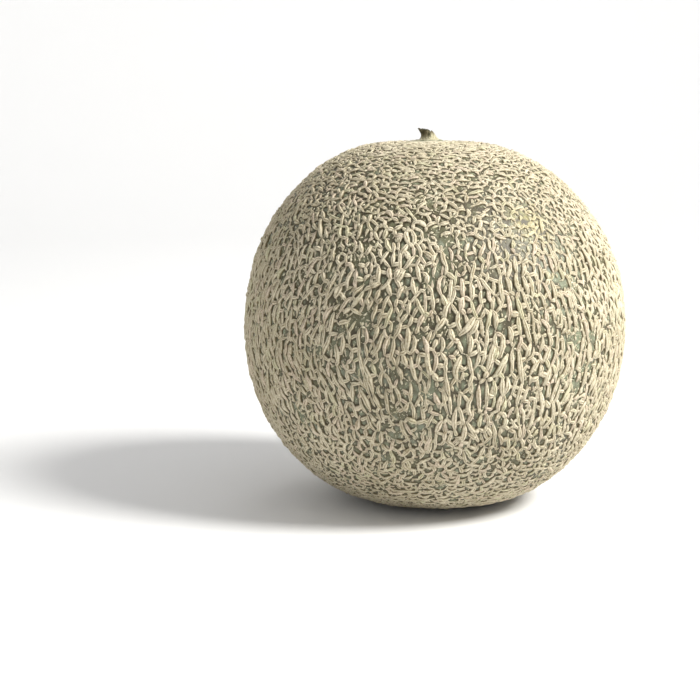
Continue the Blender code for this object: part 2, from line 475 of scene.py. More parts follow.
class Finish(Nodes):
    """A Principled material, and short ways to fill it."""

    def __init__(self, name, roughness, shine=0.5):
        self.material = bpy.data.materials.new(name)
        self.material.use_nodes = True
        super().__init__(self.material.node_tree, "ShaderNode")
        self.shader = self.group.nodes["Principled BSDF"]
        self.shader.inputs["Roughness"].default_value = roughness
        self.shader.inputs["Specular IOR Level"].default_value = shine

    def place(self, scale=(1, 1, 1)):
        """The surface's own place, in metres, stretched by these shares."""
        spot = self.add("TexCoord").outputs["Object"]
        return self.get("Mapping", ("Vector", spot), ("Scale", scale))

    def noise(self, scale, detail, stretch=(1, 1, 1), rough=0.55):
        """Cloudy noise with this many waves to the metre."""
        links = (("Scale", scale), ("Detail", detail), ("Roughness", rough))
        return self.get("TexNoise", ("Vector", self.place(stretch)), *links)

    def read(self, name):
        return self.add("Attribute", attribute_name=name).outputs["Fac"]

    def ramp(self, source, low, high, start=0.0, end=1.0):
        """Maps source from low..high to start..end, smoothly and clamped."""
        links = (("From Min", low), ("From Max", high), ("To Min", start), ("To Max", end))
        return self.get("MapRange", ("Value", source), *links, interpolation_type="SMOOTHSTEP")

    def blend(self, share, first, second):
        """The first colour at a share of 0, the second at 1."""
        ends = [c if isinstance(c, bpy.types.NodeSocket) else (*c, 1) for c in (first, second)]
        return self.add("Mix", (0, share), *enumerate(ends, 6), data_type="RGBA").outputs[2]

    def away(self, spot, scale=(1, 1, 1)):
        """How far the surface is from a spot."""
        links = ((0, self.place(scale)), (1, spot))
        return self.add("VectorMath", *links, operation="DISTANCE").outputs["Value"]

    def near(self, spot, reach, ragged=0.012):
        """1 at a spot of the surface, falling to 0 about this far off, with a ragged edge."""
        wander = self.math("MULTIPLY", self.noise(90, 3), ragged)
        edge = self.math("ADD", self.away(spot), wander)
        return self.ramp(edge, reach + ragged / 2, ragged / 2)

    def paint(self, colour):
        self.group.links.new(colour, self.shader.inputs["Base Color"])

    def bump(self, height, distance):
        normal = self.get("Bump", ("Height", height), ("Distance", distance))
        self.group.links.new(normal, self.shader.inputs["Normal"])


OLIVE_SKIN = (0.105, 0.098, 0.048)
GREEN_SKIN = (0.185, 0.205, 0.130)
PALE_CELL = (0.18, 0.20, 0.145)
RIPE_SKIN = (0.42, 0.36, 0.12)
SKIN_SPECK = (0.50, 0.50, 0.36)
# painted shade: dark brown in the crevices beside the cords and over small cells
SKIN_SHADE_BY_CORK = (0.062, 0.050, 0.024)
RIPE_SPOT = (0.034, -0.050, 0.113)  # a sunny patch, yellower than the rest
RIPE_REACH = 0.012


def skin_finish():
    """Dull grey-green skin with olive and paler patches and pale specks, darkened by painted shade
    beside the cork.
    """
    skin = Finish("melon_skin", 0.5)
    colour = skin.blend(skin.ramp(skin.noise(45, 3), 0.38, 0.62), OLIVE_SKIN, GREEN_SKIN)
    colour = skin.blend(skin.ramp(skin.read("cell_tone"), 0.7, 1.0, 0, 0.7), colour, PALE_CELL)
    ripe = skin.math("MULTIPLY", skin.near(RIPE_SPOT, RIPE_REACH), 0.6)
    colour = skin.blend(ripe, colour, RIPE_SKIN)
    colour = skin.blend(skin.ramp(skin.noise(1500, 2), 0.60, 0.68, 0, 0.8), colour, SKIN_SPECK)
    # painted shade beside the cords and over small cells
    colour = skin.blend(skin.ramp(skin.read("foot"), 0.1, 0.75), colour, SKIN_SHADE_BY_CORK)
    skin.paint(colour)
    skin.bump(skin.math("ADD", skin.noise(1500, 2), skin.noise(420, 3)), 0.00016)
    return skin.material


rind_skin = new_piece("rind_skin", skin_mesh(), skin_finish(), "melon")


# The net. Cords of cork healed over the cracks: spindles, thickest between their knots, that grow
# together where they lie in line. Some cracks stayed open and some cords stop short, and a large
# cell has a thinner rib in it. The net is one growth, made here in level bands from foot to crown.
CORD_HALF = 0.00086  # half the width of a usual cord
CORD_STOUT = (0.78, 1.2)  # of single cords, beside the usual one
USUAL_CELL = 11.6e-6  # area; a cord is thicker between larger cells
ROOMIEST = 2  # usual cells in one, past which a cord gets no thicker
CORD_REACH = 0.0025  # shorter cords are thinner too
CORD_STEP = 0.0009
CORD_SINK = 0.00030
MOST_LINKS = 3
WOBBLE = 0.00012
LOOSE = 0.16  # share of the tips that stop short of their knot
LOOSE_CUT = (0.3, 0.7)  # of the way back to the next point
OVERRUN = (0.0001, 0.0010)  # of the other tips past their knot
ASIDE = 0.00040  # of those tips to either side
POINTED = (0.15, 0.42)  # share of a cord's thickness at its tips
UNEVEN = (0.9, 1.1)
BELLY = 0.6  # power of the spindle's curve; lower is blunter
RIB_CELLS = (8e-6, 18e-6)  # cells up to this area have no rib in them, and from this area all do
RIB_LENGTH = (0.4, 0.85)  # of the way across the cell
RIB_THICK = (0.4, 0.65)
BANDS = (
    "net_foot",
    "net_base",
    "net_lower_waist",
    "net_middle",
    "net_upper_waist",
    "net_shoulder",
    "net_crown",
)


def cords():
    """Each cord as the knots that it runs through."""
    used = set()
    found = []
    for link in healed:
        if link in used:
            continue
        used.add(link)
        run = list(link.verts)
        for end in (1, 0):
            here = link
            while len(run) <= MOST_LINKS:
                knot = run[-1] if end else run[0]
                here = partner.get((here, knot))
                if here is None or here in used:
                    break
                used.add(here)
                run.insert(len(run) if end else 0, here.other_vert(knot))
        found.append(run)
    return found


def room(run):
    """How large the cells on both sides of a cord are, beside the usual cell."""
    cells = {cell for knot in run for cell in knot.link_faces}
    return sum(cell.calc_area() for cell in cells) / len(cells) / USUAL_CELL


def cord_points(run):
    """Control points of a cord as directions, each with its share of the cord's thickness."""
    line = [Vector(run[0][way])]
    for knot in run[1:]:
        start, end = line[-1], Vector(knot[way])
        drift = (end - start).cross(start).normalized() * draw.uniform(-WOBBLE, WOBBLE)
        line += [start.lerp(end, 0.5) + drift / HALF_WIDTH, end]
    for tip, neck in ((0, 1), (-1, -2)):
        reach = line[tip] - line[neck]
        if draw.random() < LOOSE:
            line[tip] -= reach * draw.uniform(*LOOSE_CUT)
        else:
            aside = reach.cross(line[tip]).normalized() * draw.uniform(-ASIDE, ASIDE)
            line[tip] += (reach.normalized() * draw.uniform(*OVERRUN) + aside) / HALF_WIDTH
    return spindle(line, draw.uniform(*CORD_STOUT) * min(room(run), ROOMIEST) ** 0.5)


def spindle(line, stout):
    """The points of a line with the thickness there: full in the middle, pointed at the tips."""
    steps = [(end - start).length for start, end in zip(line, line[1:])]
    stout *= min(1, sum(steps) * HALF_WIDTH / CORD_REACH) ** 0.5
    tips = [draw.uniform(*POINTED) for _ in range(2)]
    points = []
    for k, spot in enumerate(line):
        share = sum(steps[:k]) / sum(steps)
        tip = tips[0] + (tips[1] - tips[0]) * share
        belly = math.sin(math.pi * min(max(share, 0), 1)) ** BELLY
        points.append((spot, stout * (tip + (1 - tip) * belly) * draw.uniform(*UNEVEN)))
    return points


def rib_points(cell):
    """A thinner cord in a large cell, from one of its far corners towards the other."""
    corners = [Vector(knot[way]) for knot in sorted(cell.verts, key=lambda knot: knot.co.z)]
    pairs = ((a, b) for a in corners for b in corners)
    ends = max(pairs, key=lambda pair: (pair[0] - pair[1]).length)
    near, far = ends if draw.random() < 0.5 else ends[::-1]
    stop = near.lerp(far, draw.uniform(*RIB_LENGTH))
    return spindle([near, near.lerp(stop, 0.5), stop], draw.uniform(*RIB_THICK))


def point_object(name, spots, edges, **layers):
    """Bare points and edges, with a layer of values or of vectors for each name given."""
    data = bpy.data.meshes.new(name)
    data.from_pydata(spots.tolist(), edges, [])
    for label, values in layers.items():
        kind, part = ("FLOAT", "value") if np.ndim(values) == 1 else ("FLOAT_VECTOR", "vector")
        data.attributes.new(label, kind, "POINT").data.foreach_set(part, np.ravel(values))
    return new_object(name, data)


def line_object(name, runs):
    """The cords' middle lines as a mesh of edges, with their thickness, normal and tone."""
    ways, thick, tones, edges = [], [], [], []
    for points in runs:
        tone = draw.random()
        first = len(ways)
        for spot, share in points:
            ways.append(spot)
            thick.append(share * CORD_HALF)
            tones.append(tone)
        edges += [(k, k + 1) for k in range(first, len(ways) - 1)]
    spots, normals = on_rind(np.array(ways), -CORD_SINK)
    return point_object(name, spots, edges, thick=thick, tone=tones, out=normals)


class Tree(Nodes):
    """A geometry node tree with named inputs, and short ways to fill it."""

    def __init__(self, name, **inputs):
        super().__init__(bpy.data.node_groups.new(name, "GeometryNodeTree"), "GeometryNode")
        face = self.group.interface
        face.new_socket("Geometry", in_out="INPUT", socket_type="NodeSocketGeometry")
        face.new_socket("Geometry", in_out="OUTPUT", socket_type="NodeSocketGeometry")
        kinds = {float: "NodeSocketFloat", int: "NodeSocketInt"}
        for label, value in inputs.items():
            kind = kinds.get(type(value), "NodeSocketMaterial")
            socket = face.new_socket(label, in_out="INPUT", socket_type=kind)
            if value is not None:
                socket.default_value = value
        self.given = self.group.nodes.new("NodeGroupInput").outputs

    def read(self, name, kind="FLOAT"):
        return self.add("InputNamedAttribute", ("Name", name), data_type=kind).outputs["Attribute"]

    def store(self, geometry, name, value):
        links = (("Geometry", geometry), ("Name", name), ("Value", value))
        return self.get("StoreNamedAttribute", *links)

    def noise(self, scale, detail):
        place = ("Vector", self.get("InputPosition"))
        return self.get("ShaderNodeTexNoise", place, ("Scale", scale), ("Detail", detail))

    def chance(self, low, high):
        """A random number for each point, between two of the tree's inputs."""
        dice = self.add("FunctionNodeRandomValue", data_type="FLOAT")
        for socket in dice.inputs:
            label = {"Min": low, "Max": high, "Seed": "Seed"}.get(socket.name)
            if label and socket.enabled:
                self.group.links.new(self.given[label], socket)
        return next(socket for socket in dice.outputs if socket.enabled)

    def push(self, geometry, way, size):
        """Moves every point this way, times this size."""
        offset = self.get("ShaderNodeVectorMath", (0, way), ("Scale", size), operation="SCALE")
        return self.get("SetPosition", ("Geometry", geometry), ("Offset", offset))

    def end(self, geometry):
        """Smooths and dresses what has been made, and closes the tree."""
        smooth = self.get("SetShadeSmooth", ("Geometry", geometry))
        whole = self.get("RealizeInstances", ("Geometry", smooth))
        dressed = self.get("SetMaterial", ("Geometry", whole), ("Material", self.given["Finish"]))
        self.group.links.new(dressed, self.group.nodes.new("NodeGroupOutput").inputs[0])
        return self.group


def cord_tree():
    """Sweeps a low, slightly squared half-round profile along every line, its flat side down in
    the skin, then roughens it and splits its crest here and there."""
    tree = Tree(
        "cords_of_cork",
        Step=CORD_STEP,
        Height=1.45,
        Square=0.16,
        Groove=0.25,
        Rough=0.00042,
        Sides=7,
        Finish=None,
    )
    curve = tree.get("MeshToCurve", ("Mesh", tree.given["Geometry"]))
    curve = tree.get("CurveSplineType", ("Curve", curve), spline_type="CATMULL_ROM")
    step = ("Length", tree.given["Step"])
    curve = tree.get("ResampleCurve", ("Curve", curve), step, mode="LENGTH")
    out = tree.read("out", "FLOAT_VECTOR")
    curve = tree.get("SetCurveNormal", ("Curve", curve), ("Normal", out), mode="FREE")
    curve = tree.store(curve, "along", tree.add("SplineParameter").outputs["Length"])
    arc = tree.get(
        "CurveArc",
        ("Resolution", tree.given["Sides"]),
        ("Radius", 1.0),
        ("Start Angle", -math.pi / 2),
        ("Sweep Angle", math.pi),
    )
    arc = tree.store(arc, "across", tree.add("SplineParameter").outputs["Factor"])
    spot = tree.get("InputPosition")
    parts = tree.add("ShaderNodeSeparateXYZ", ("Vector", spot)).outputs
    corner = tree.math("MULTIPLY", parts["X"], parts["Y"])
    corner = tree.math("MULTIPLY", tree.math("MULTIPLY", corner, corner), 4.0)
    arc = tree.push(arc, spot, tree.math("MULTIPLY", corner, tree.given["Square"]))
    low = tree.get("ShaderNodeCombineXYZ", ("X", tree.given["Height"]), ("Y", 1.0), ("Z", 1.0))
    arc = tree.get("Transform", ("Geometry", arc), ("Scale", low))
    arc = tree.get("SetSplineCyclic", ("Geometry", arc), ("Cyclic", True))
    swept = tree.get(
        "CurveToMesh",
        ("Curve", curve),
        ("Profile Curve", arc),
        ("Scale", tree.read("thick")),
        ("Fill Caps", True),
    )
    chips = tree.math("SUBTRACT", tree.noise(800.0, 2.0), 0.5)
    lift = tree.math("MULTIPLY", chips, tree.given["Rough"])
    crest = tree.math("COMPARE", tree.read("across"), 0.5, 0.06)
    broken = tree.math("SUBTRACT", tree.noise(230.0, 1.0), 0.40)
    split = tree.math("MULTIPLY", crest, tree.math("MULTIPLY", broken, 5.0, clamp=True))
    depth = tree.math("MULTIPLY", tree.read("thick"), tree.given["Groove"])
    lift = tree.math("SUBTRACT", lift, tree.math("MULTIPLY", split, depth))
    return tree.end(tree.push(swept, tree.get("InputNormal"), lift))


def grow(piece, group, finish):
    """Runs a node tree on a piece and keeps the result as its plain mesh, no lower than what the
    fruit rests on."""
    nodes = piece.modifiers.new("grow", "NODES")
    nodes.node_group = group
    for item in group.interface.items_tree:
        if item.in_out == "INPUT" and item.name == "Finish":
            nodes[item.identifier] = finish
    bpy.context.view_layer.update()
    graph = bpy.context.evaluated_depsgraph_get()
    made = bpy.data.meshes.new_from_object(piece.evaluated_get(graph))
    piece.modifiers.clear()
    spots = np.empty(len(made.vertices) * 3, np.float32)
    made.vertices.foreach_get("co", spots)
    spots[2::3] = np.maximum(spots[2::3], 0)
    made.vertices.foreach_set("co", spots)
    piece.data = made
    return piece


CREAM_CORK = (0.70, 0.635, 0.48)
TAN_CORK = (0.58, 0.52, 0.38)
WARM_CORK = (0.68, 0.565, 0.45)
GREENISH_CORK = (0.60, 0.585, 0.39)
RIPE_CORK = (0.68, 0.61, 0.30)
CORK_PIT = (0.34, 0.275, 0.16)
CORK_FIBRE = (0.30, 0.23, 0.12)
CORK_CRACK = (0.20, 0.15, 0.07)
# a little browner cork, deepened by painted shade, down the cords' sides
CORD_SIDE_BROWN_AND_SHADE = (0.125, 0.098, 0.045)


def cork_finish():
    """Dry fibrous cork, cream on the crest, a little browner down its sides and much darker there
    with painted shade, with pits and with broken cracks along it. Single cords are warmer or
    greener."""
    cork = Finish("net_cork", 0.82, 0.22)
    colour = cork.blend(cork.ramp(cork.noise(38, 3), 0.35, 0.65), TAN_CORK, CREAM_CORK)
    tone = cork.read("tone")
    colour = cork.blend(cork.ramp(tone, 0.72, 1.0, 0, 0.7), colour, WARM_CORK)
    colour = cork.blend(cork.ramp(tone, 0.16, 0.0, 0, 0.7), colour, GREENISH_CORK)
    ripe = cork.math("MULTIPLY", cork.near(RIPE_SPOT, RIPE_REACH), 0.4)
    colour = cork.blend(ripe, colour, RIPE_CORK)
    pits = cork.noise(1300, 4, rough=0.65)
    colour = cork.blend(cork.ramp(pits, 0.46, 0.64, 0, 0.5), colour, CORK_PIT)
    across = cork.read("across")
    fibres = cork.get(
        "CombineXYZ",
        ("X", cork.math("MULTIPLY", cork.read("along"), 0.22)),
        ("Y", cork.math("MULTIPLY", across, 0.0022)),
        ("Z", tone),
    )
    grain = cork.get("TexNoise", ("Vector", fibres), ("Scale", 1900.0), ("Detail", 3.0))
    colour = cork.blend(cork.ramp(grain, 0.54, 0.70, 0, 0.5), colour, CORK_FIBRE)
    side = cork.math("ABSOLUTE", cork.math("ADD", across, -0.5))
    crack = cork.math("MULTIPLY", cork.ramp(side, 0.075, 0.02), cork.ramp(grain, 0.36, 0.52))
    colour = cork.blend(cork.math("MULTIPLY", crack, 0.7), colour, CORK_CRACK)
    # the cord's sides: a little browner, and much darker with painted shade
    colour = cork.blend(cork.ramp(side, 0.20, 0.37, 0, 0.88), colour, CORD_SIDE_BROWN_AND_SHADE)
    cork.paint(colour)
    rough = cork.math("MULTIPLY", pits, 1.6)
    relief = cork.math("SUBTRACT", cork.math("MULTIPLY", grain, 0.8), rough)
    cork.bump(cork.math("SUBTRACT", relief, crack), 0.00022)
    return cork.material


net_cork = cork_finish()
cord_nodes = cord_tree()
net_cords = {band: [] for band in BANDS}


def band_at(height):
    return net_cords[BANDS[min(int(height / melon_high.z * len(BANDS)), len(BANDS) - 1)]]


for run in cords():
    band_at(run[0].co.z).append(cord_points(run))
for cell in net.faces:
    if draw.random() > fall(cell.calc_area(), *RIB_CELLS):
        band_at(cell.calc_center_median().z).append(rib_points(cell))
for band, runs in net_cords.items():
    tie(grow(line_object(band, runs), cord_nodes, net_cork), "melon")


# The flecks. In the open cells the skin has late, short cracks of its own, each healed with a
# grain or a dash of pale cork, most of them where the net is thin.
FLECK_CHANCE = 0.38  # in a cell, and once more for each open crack round it
FLECK_OUT = 0.45  # most of the way from a cell's middle to a corner
CRACK_FLECKS = 0.75  # at each of the places along a crack that has stayed open
CRACK_PLACES = (0.3, 0.7)
PLACE_SPREAD = 0.1
FLECK_RISE = 0.0001
FLECK_LENGTH = (0.0003, 0.0010)
FLECK_SLIM = (0.28, 0.5)
FLECK_SEED = 9
FLECK_DARK = (0.44, 0.40, 0.27)
FLECK_LIGHT = (0.62, 0.57, 0.43)


def fleck_object():
    """A point for each fleck, with the way that it lies and the rind's normal there."""
    ways, runs = [], []
    for cell in net.faces:
        corners = [Vector(knot[way]) for knot in cell.verts]
        middle = sum(corners, Vector()) / len(corners)
        gaps = sum(link not in corked for link in cell.edges)
        for _ in range(1 + gaps):
            if draw.random() < FLECK_CHANCE:
                corner = corners[draw.randrange(len(corners))]
                ways.append(middle.lerp(corner, draw.uniform(0.0, FLECK_OUT)))
                runs.append((corner - middle).normalized())
    for link in net.edges:
        if link not in corked:
            a, b = (Vector(knot[way]) for knot in link.verts)
            for share in CRACK_PLACES:
                if draw.random() < CRACK_FLECKS:
                    place = draw.uniform(share - PLACE_SPREAD, share + PLACE_SPREAD)
                    ways.append(a.lerp(b, place))
                    runs.append((b - a).normalized())
    spots, normals = on_rind(np.array(ways), FLECK_RISE)
    return point_object("net_flecks", spots, [], out=normals, run=np.array(runs))


def fleck_tree():
    """Sets a small grain of cork on every point, laid along its crack."""
    tree = Tree(
        "flecks_of_cork",
        Shortest=FLECK_LENGTH[0],
        Longest=FLECK_LENGTH[1],
        Slimmest=FLECK_SLIM[0],
        Stoutest=FLECK_SLIM[1],
        Seed=FLECK_SEED,
        Finish=None,
    )
    points = tree.get("MeshToPoints", ("Mesh", tree.given["Geometry"]))
    grain = tree.get("MeshUVSphere", ("Segments", 5), ("Rings", 3), ("Radius", 1.0))
    align = "FunctionNodeAlignRotationToVector"
    out = ("Rotation", tree.get(align, ("Vector", tree.read("out", "FLOAT_VECTOR")), axis="Z"))
    run = ("Vector", tree.read("run", "FLOAT_VECTOR"))
    turn = tree.get(align, out, run, axis="X", pivot_axis="Z")
    length = tree.chance("Shortest", "Longest")
    width = tree.math("MULTIPLY", length, tree.chance("Slimmest", "Stoutest"))
    size = tree.get("ShaderNodeCombineXYZ", ("X", length), ("Y", width), ("Z", width))
    links = (("Points", points), ("Instance", grain), ("Rotation", turn), ("Scale", size))
    return tree.end(tree.get("InstanceOnPoints", *links))


def fleck_finish():
    """Pale dry cork, a little uneven."""
    fleck = Finish("fleck_cork", 0.8, 0.25)
    fleck.paint(fleck.blend(fleck.ramp(fleck.noise(300, 3), 0.35, 0.65), FLECK_DARK, FLECK_LIGHT))
    fleck.bump(fleck.noise(2400, 2), 0.00012)
    return fleck.material


tie(grow(fleck_object(), fleck_tree(), fleck_finish()), "melon")


# The collar round the stalk. The rind there stretched in rings as the stalk swelled, and healed
# as one smooth corky cuff, cracked in broken circles, that steps down from the stalk's foot and
# slips under the net at its rim.
CUFF_RISE = NET_RISE - 0.0001  # over the skin, outside the step
COLLAR_REACH = (0.0078, 0.0122)  # where the cuff starts to slope down, and where it ends
COLLAR_ROW = 0.00016
RING_CRACKS = (0.0072, 0.0081, 0.0091, 0.0102)
FOOT_STEP = (0.0049, 0.0056)  # radii between which the cuff steps down from the stalk's foot
RADIAL_CRACKS = 19
CRACK_WIDTH = 0.00022
CRACK_DEPTH = 0.00040
EDGE_SINK = 0.0006  # of a patch's rim under the skin
PATCH_SIDES = 168
COLLAR_LIGHT = (0.56, 0.52, 0.40)
COLLAR_DARK = (0.44, 0.41, 0.30)
CUFF_STAIN = (0.34, 0.30, 0.20)
CUFF_GREEN = (0.30, 0.33, 0.22)
# painted shade in the hollows of the cuff and the scar
CUFF_HOLLOW_SHADE = (0.10, 0.085, 0.045)
# painted shadow in dark green down the step under the stalk's foot
STEP_SHADE_GREEN = (0.12, 0.13, 0.075)


def waver(spot, scale, seed):
    """Smooth noise from -1 to 1 with this many waves to the metre."""
    return noise.noise(Vector(spot) * scale + Vector((seed, 2 * seed, 3 * seed)))


def fan(mesh, ring, pole):
    """Joins a ring of vertices to one in its middle by faces."""
    for j, knot in enumerate(ring):
        mesh.faces.new((knot, ring[(j + 1) % len(ring)], pole))


def bridge(mesh, rings):
    """Joins every ring of vertices to the next one by faces."""
    for low, high in zip(rings, rings[1:]):
        for j, knot in enumerate(low):
            after = (j + 1) % len(low)
            mesh.faces.new((knot, high[j], high[after], low[after]))


def round_patch(reach, side, row, relief):
    """A closed round patch of rind about one end, raised over the skin by a relief formula."""
    rows = round(reach / row)
    ways, rises = [], []
    for k in range(1, rows + 1):
        radius = reach * k / rows
        polar = end_angle(radius, side)
        for j in range(PATCH_SIDES):
            azimuth = j * math.tau / PATCH_SIDES
            ways.append(direction(polar, azimuth))
            rises.append(relief(radius, azimuth))
    ways.append((0, 0, side))
    rises.append(relief(0.0, 0.0))
    spots, _ = on_rind(np.array(ways), np.array(rises))
    mesh = bmesh.new()
    made = [mesh.verts.new(spot) for spot in spots]
    pole = made.pop()
    rings = [made[k : k + PATCH_SIDES] for k in range(0, len(made), PATCH_SIDES)]
    fan(mesh, rings[0], pole)
    bridge(mesh, rings)
    mesh.faces.new(rings[-1])
    bmesh.ops.recalc_face_normals(mesh, faces=mesh.faces)
    return mesh


def collar_relief(radius, azimuth):
    spot = (radius * math.cos(azimuth), radius * math.sin(azimuth), 0)
    wander = 0.0006 * waver(spot, 260, 1.0)
    rise = CUFF_RISE + 0.00025 * waver(spot, 420, 2.0)
    for k, ring in enumerate(RING_CRACKS):
        broken = fall(waver(spot, 330, 3.0 + k), -0.1, 0.15)
        near = fall(abs(radius + wander - ring), CRACK_WIDTH / 3, CRACK_WIDTH)
        rise -= CRACK_DEPTH * near * broken
    rise += (NET_RISE + COLLAR_RISE - CUFF_RISE) * fall(radius + wander / 3, *FOOT_STEP)
    ray = abs(math.sin(azimuth * RADIAL_CRACKS / 2 + 3 * waver(spot, 300, 8.0)))
    rise -= CRACK_DEPTH * 0.7 * fall(ray, 0.0, 0.09) * fall(waver(spot, 260, 9.0), -0.2, 0.1)
    slope = fall(radius + 3 * wander, *COLLAR_REACH)
    return rise * slope - EDGE_SINK * (1 - slope)


def cuff_finish(name, light, dark, step=None):
    """Smooth grey-cream cork, darkened by painted shade where it dips into cracks and hollows, with
    patches of dark green painted shade down a step.
    """
    cuff = Finish(name, 0.78, 0.25)
    colour = cuff.blend(cuff.ramp(cuff.noise(160, 4), 0.35, 0.65), dark, light)
    colour = cuff.blend(cuff.ramp(cuff.noise(900, 3), 0.50, 0.68, 0, 0.5), colour, CUFF_STAIN)
    colour = cuff.blend(cuff.ramp(cuff.noise(420, 2), 0.60, 0.72, 0, 0.5), colour, CUFF_GREEN)
    hollow = cuff.add("NewGeometry").outputs["Pointiness"]
    # painted shade: darker wherever the surface is hollow, in the cracks and at the foot of the step
    colour = cuff.blend(cuff.ramp(hollow, 0.485, 0.42, 0, 0.85), colour, CUFF_HOLLOW_SHADE)
    if step:
        middle, half = sum(step) / 2, (step[1] - step[0]) / 2
        away = cuff.away((SEAT_X, SEAT_Y, 0), (1, 1, 0))
        off = cuff.math("ABSOLUTE", cuff.math("ADD", away, -middle))
        patchy = cuff.ramp(cuff.noise(340, 3), 0.42, 0.58, 0.15, 0.75)
        # painted shadow: patches of dark green down the step under the stalk's foot
        step_shade = cuff.math("MULTIPLY", cuff.ramp(off, 1.8 * half, 0.6 * half), patchy)
        colour = cuff.blend(step_shade, colour, STEP_SHADE_GREEN)
    cuff.paint(colour)
    cuff.bump(cuff.math("ADD", cuff.noise(1300, 4), cuff.noise(3200, 2)), 0.00016)
    return cuff.material


stalk_collar = new_piece(
    "stalk_collar",
    round_patch(COLLAR_REACH[1], 1, COLLAR_ROW, collar_relief),
    cuff_finish("collar_cork", COLLAR_LIGHT, COLLAR_DARK, FOOT_STEP),
    "melon",
)


# The blossom scar, underneath. A flat round patch of rough cork where the flower fell off, with
# broken rings and rays of fine cracks. The fruit rests on it.
SCAR_REACH = (0.0138, 0.0172)
SCAR_ROW = 0.0002
SCAR_RINGS = (0.0026, 0.0052, 0.0083, 0.0113)
SCAR_RAYS = 13
SCAR_LIGHT = (0.55, 0.48, 0.34)
SCAR_DARK = (0.42, 0.35, 0.23)


def scar_relief(radius, azimuth):
    spot = (radius * math.cos(azimuth), radius * math.sin(azimuth), 0.3)
    wander = 0.0009 * waver(spot, 210, 4.0)
    rise = NET_RISE - 0.0002 + 0.00022 * waver(spot, 380, 5.0)
    for k, ring in enumerate(SCAR_RINGS):
        broken = fall(waver(spot, 240, 6.0 + k), -0.05, 0.2)
        near = fall(abs(radius + wander - ring), CRACK_WIDTH / 3, CRACK_WIDTH)
        rise -= CRACK_DEPTH * near * broken
    ray = abs(math.sin(azimuth * SCAR_RAYS / 2 + 2.5 * waver(spot, 160, 11.0)))
    broken = fall(waver(spot, 200, 12.0), -0.1, 0.2)
    rise -= CRACK_DEPTH * fall(ray * radius, 0.0002, 0.0006) * broken
    slope = fall(radius + 2 * wander, *SCAR_REACH)
    return rise * slope - EDGE_SINK * (1 - slope)


blossom_scar = new_piece(
    "blossom_scar",
    round_patch(SCAR_REACH[1], -1, SCAR_ROW, scar_relief),
    cuff_finish("scar_cork", SCAR_LIGHT, SCAR_DARK),
    "melon",
)


# The stalk. A dry stub of the vine's stem, left where the fruit slipped off: a flared foot of
# pale cork, a ribbed and shrunken neck that leans to one side, and a dark, torn, fibrous end.
_, stalk_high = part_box("stalk")
FOOT_RADIUS = 0.0059
NECK_RADIUS = 0.0026
FLARE = (0.7, 2.2)  # share of the height where the foot's flare ends, and the power of its curve
STALK_BEND = -0.0013
STALK_TURNS = 56
STALK_ROWS = 44
STALK_RIBS = 5
RIB_DEPTH = 0.09
TIP_SLANT = 0.00055  # the torn end is higher on the side that it leans to
TIP_SPIKE = 0.0005  # a sharp fibre left standing on that side
SPIKE_WIDTH = 0.4
STALK_BASE = melon_high.z - 0.0012
STALK_RISE = stalk_high.z - melon_high.z - 0.00085  # of the middle of the torn end
TORN_RINGS = ((0.86, 0.0007), (0.66, 0.0007), (0.44, 0.0002), (0.22, 0.0002))  # share out, sink
PITH_RISE = 0.0003
STEM_DARK = (0.045, 0.042, 0.020)
STEM_BROWN = (0.125, 0.105, 0.062)
STEM_FIBRE = (0.20, 0.165, 0.10)
FOOT_DARK = (0.38, 0.34, 0.22)
FOOT_LIGHT = (0.50, 0.47, 0.33)


def stalk_spot(share, turn):
    """A point of the stub's side, from its foot at 0 to the edge of its torn end at 1."""
    flare = (1 - min(share / FLARE[0], 1)) ** FLARE[1]
    radius = NECK_RADIUS + (FOOT_RADIUS - NECK_RADIUS) * flare
    swell = 1 + RIB_DEPTH * min(share / 0.3, 1) * math.cos(STALK_RIBS * turn + 1.2 * share + 0.6)
    fibre = 0.035 * math.cos(17 * turn + 3 * share) + 0.02 * math.cos(29 * turn - 4 * share)
    radius *= swell + fibre * min(share / 0.2, 1)
    spike = TIP_SPIKE * math.exp(-(((turn - math.pi) / SPIKE_WIDTH) ** 2))
    radius += 0.8 * spike * share**4
    lean = STALK_BEND * share**2.2
    edge = 0.00022 * math.cos(11 * turn + 0.4) + 0.00016 * math.cos(23 * turn) + spike
    height = (melon_high.z - STALK_BASE + STALK_RISE) * share
    height += share**3 * (edge - TIP_SLANT * math.cos(turn))
    x = SEAT_X + lean + radius * math.cos(turn)
    return Vector((x, SEAT_Y + radius * math.sin(turn), STALK_BASE + height))


def stalk_mesh():
    """The stub's side in rows from foot to rim, and its torn end in rings from rim to pith."""
    mesh = bmesh.new()
    rings = []
    for row in range(STALK_ROWS + 1):
        turns = (j * math.tau / STALK_TURNS for j in range(STALK_TURNS))
        rings.append([mesh.verts.new(stalk_spot(row / STALK_ROWS, turn)) for turn in turns])
    rim = rings[-1]
    middle = sum((knot.co for knot in rim), Vector()) / STALK_TURNS
    for k, (share, sink) in enumerate(TORN_RINGS):
        ring = []
        for j, knot in enumerate(rim):
            spot = middle.lerp(knot.co, share)
            torn = 0.0005 * math.cos(7 * j + 2.3 * k) + 0.0003 * math.cos(3.1 * j * (k + 1))
            spot.z += torn - sink
            ring.append(mesh.verts.new(spot))
        rings.append(ring)
    bridge(mesh, rings)
    fan(mesh, rings[-1], mesh.verts.new(middle + Vector((0, 0, PITH_RISE))))
    mesh.faces.new(reversed(rings[0]))
    bmesh.ops.recalc_face_normals(mesh, faces=mesh.faces)
    for spot in mesh.verts:
        spot.co.z = min(spot.co.z, stalk_high.z)
    return mesh


